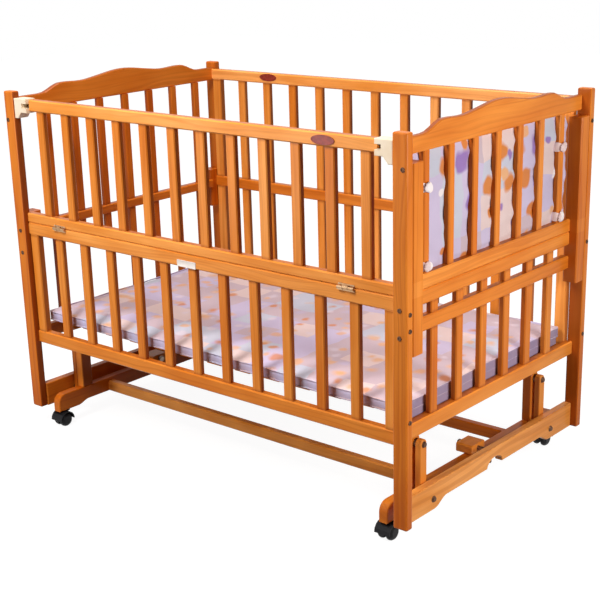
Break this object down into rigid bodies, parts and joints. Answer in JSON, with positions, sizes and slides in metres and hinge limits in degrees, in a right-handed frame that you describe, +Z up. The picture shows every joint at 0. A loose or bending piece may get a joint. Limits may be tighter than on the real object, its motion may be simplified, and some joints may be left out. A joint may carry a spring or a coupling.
{
  "type": "swinging crib",
  "caption": "Wooden cradle crib with slatted sides, a fold-down front gate and wavy end rails, hung by links on an inner base with casters.",
  "frame": {"origin": "on the floor under the middle of the crib, at the wheels' lowest points", "axes": "+X to the right end, where the bumper is; +Y to the rear side; +Z up; the front with the folding gate faces -Y"},
  "size_m": [1.04, 0.626, 0.7657],
  "materials": {
    "varnished_pine": "glossy honey orange varnish over pine",
    "varnished_crest": "glossy honey orange varnish over pine",
    "zinc_steel": "zinc plated, satin",
    "hinge_brass": "brass plated, satin",
    "catch_plastic": "off-white moulded plastic",
    "caster_plastic": "black moulded plastic",
    "mattress_cotton": "printed cotton patchwork",
    "bumper_cotton": "printed cotton patchwork"
  },
  "bodies": {
    "base": {"foot_board_left": "varnished_pine", "foot_board_right": "varnished_pine", "stretcher_front": "varnished_pine", "stretcher_rear": "varnished_pine", "lock_block_left": "varnished_pine", "lock_block_right": "varnished_pine", "stop_pin_left": "zinc_steel", "stop_pin_right": "zinc_steel", "upright_front_left": "varnished_pine", "upright_front_right": "varnished_pine", "upright_rear_left": "varnished_pine", "upright_rear_right": "varnished_pine", "upper_pivot_front_left": "zinc_steel", "upper_pivot_front_right": "zinc_steel", "upper_pivot_rear_left": "zinc_steel", "upper_pivot_rear_right": "zinc_steel"},
    "crib": {"post_front_left": "varnished_pine", "post_front_right": "varnished_pine", "post_rear_left": "varnished_pine", "post_rear_right": "varnished_pine", "crest_rail_left": "varnished_crest", "crest_rail_right": "varnished_crest", "upper_end_frame_left": "varnished_pine", "upper_end_frame_right": "varnished_pine", "lower_end_panel_left": "varnished_pine", "lower_end_panel_right": "varnished_pine", "low_board_left": "varnished_pine", "low_board_right": "varnished_pine", "rear_panel": "varnished_pine", "front_lower_panel": "varnished_pine", "catch_left": "catch_plastic", "catch_right": "catch_plastic", "hinge_leaf_panel_left": "hinge_brass", "hinge_leaf_panel_right": "hinge_brass", "bed_base": "varnished_pine", "mattress": "mattress_cotton", "end_bumper": "bumper_cotton", "lower_pivot_front_left": "zinc_steel", "lower_pivot_front_right": "zinc_steel", "lower_pivot_rear_left": "zinc_steel", "lower_pivot_rear_right": "zinc_steel"},
    "gate": {"front_gate": "varnished_pine", "gate_pin_left": "zinc_steel", "gate_pin_right": "zinc_steel", "hinge_leaf_gate_left": "hinge_brass", "hinge_leaf_gate_right": "hinge_brass"},
    "link_front_left": {"link_front_left": "varnished_pine"},
    "link_front_right": {"link_front_right": "varnished_pine"},
    "link_rear_left": {"link_rear_left": "varnished_pine"},
    "link_rear_right": {"link_rear_right": "varnished_pine"},
    "lock_bolt_left": {"lock_bolt_left": "zinc_steel"},
    "lock_bolt_right": {"lock_bolt_right": "zinc_steel"},
    "caster_swivel_front_left": {"caster_hood_front_left": "caster_plastic"},
    "caster_axle_front_left": {"caster_wheels_front_left": "caster_plastic"},
    "caster_swivel_front_right": {"caster_hood_front_right": "caster_plastic"},
    "caster_axle_front_right": {"caster_wheels_front_right": "caster_plastic"},
    "caster_swivel_rear_left": {"caster_hood_rear_left": "caster_plastic"},
    "caster_axle_rear_left": {"caster_wheels_rear_left": "caster_plastic"},
    "caster_swivel_rear_right": {"caster_hood_rear_right": "caster_plastic"},
    "caster_axle_rear_right": {"caster_wheels_rear_right": "caster_plastic"}
  },
  "joints": [
    {"name": "cradle_level", "type": "hinge", "parent": "link_front_left", "child": "crib", "pos_m": [-0.471, -0.21, 0.066], "axis": [1, 0, 0], "range_deg": [-10, 10]},
    {"name": "link_swing_front_left", "type": "hinge", "parent": "base", "child": "link_front_left", "pos_m": [-0.471, -0.21, 0.168], "axis": [1, 0, 0], "range_deg": [-10, 10]},
    {"name": "link_swing_front_right", "type": "hinge", "parent": "base", "child": "link_front_right", "pos_m": [0.471, -0.21, 0.168], "axis": [1, 0, 0], "range_deg": [-10, 10]},
    {"name": "link_swing_rear_left", "type": "hinge", "parent": "base", "child": "link_rear_left", "pos_m": [-0.471, 0.21, 0.168], "axis": [1, 0, 0], "range_deg": [-10, 10]},
    {"name": "link_swing_rear_right", "type": "hinge", "parent": "base", "child": "link_rear_right", "pos_m": [0.471, 0.21, 0.168], "axis": [1, 0, 0], "range_deg": [-10, 10]},
    {"name": "gate_fold", "type": "hinge", "parent": "crib", "child": "gate", "pos_m": [0, -0.306, 0.4695], "axis": [1, 0, 0], "range_deg": [0, 175]},
    {"name": "lock_slide_left", "type": "slide", "parent": "base", "child": "lock_bolt_left", "axis": [-1, 0, 0], "range_m": [0, 0.003]},
    {"name": "lock_slide_right", "type": "slide", "parent": "base", "child": "lock_bolt_right", "axis": [1, 0, 0], "range_m": [0, 0.003]},
    {"name": "caster_swivel_front_left", "type": "hinge", "parent": "base", "child": "caster_swivel_front_left", "pos_m": [-0.456, -0.273, 0.016], "axis": [0, 0, 1], "continuous": true},
    {"name": "caster_swivel_front_right", "type": "hinge", "parent": "base", "child": "caster_swivel_front_right", "pos_m": [0.456, -0.273, 0.016], "axis": [0, 0, 1], "continuous": true},
    {"name": "caster_swivel_rear_left", "type": "hinge", "parent": "base", "child": "caster_swivel_rear_left", "pos_m": [-0.456, 0.273, 0.016], "axis": [0, 0, 1], "continuous": true},
    {"name": "caster_swivel_rear_right", "type": "hinge", "parent": "base", "child": "caster_swivel_rear_right", "pos_m": [0.456, 0.273, 0.016], "axis": [0, 0, 1], "continuous": true},
    {"name": "wheel_roll_front_left", "type": "hinge", "parent": "caster_swivel_front_left", "child": "caster_axle_front_left", "pos_m": [-0.456, -0.282, 0.016], "axis": [1, 0, 0], "continuous": true},
    {"name": "wheel_roll_front_right", "type": "hinge", "parent": "caster_swivel_front_right", "child": "caster_axle_front_right", "pos_m": [0.456, -0.282, 0.016], "axis": [1, 0, 0], "continuous": true},
    {"name": "wheel_roll_rear_left", "type": "hinge", "parent": "caster_swivel_rear_left", "child": "caster_axle_rear_left", "pos_m": [-0.456, 0.264, 0.016], "axis": [1, 0, 0], "continuous": true},
    {"name": "wheel_roll_rear_right", "type": "hinge", "parent": "caster_swivel_rear_right", "child": "caster_axle_rear_right", "pos_m": [0.456, 0.264, 0.016], "axis": [1, 0, 0], "continuous": true}
  ],
  "couplings": [
    {"joint": "link_swing_front_left", "follows": "cradle_level", "ratio": -1},
    {"joint": "link_swing_front_right", "follows": "cradle_level", "ratio": -1},
    {"joint": "link_swing_rear_left", "follows": "cradle_level", "ratio": -1},
    {"joint": "link_swing_rear_right", "follows": "cradle_level", "ratio": -1}
  ]
}
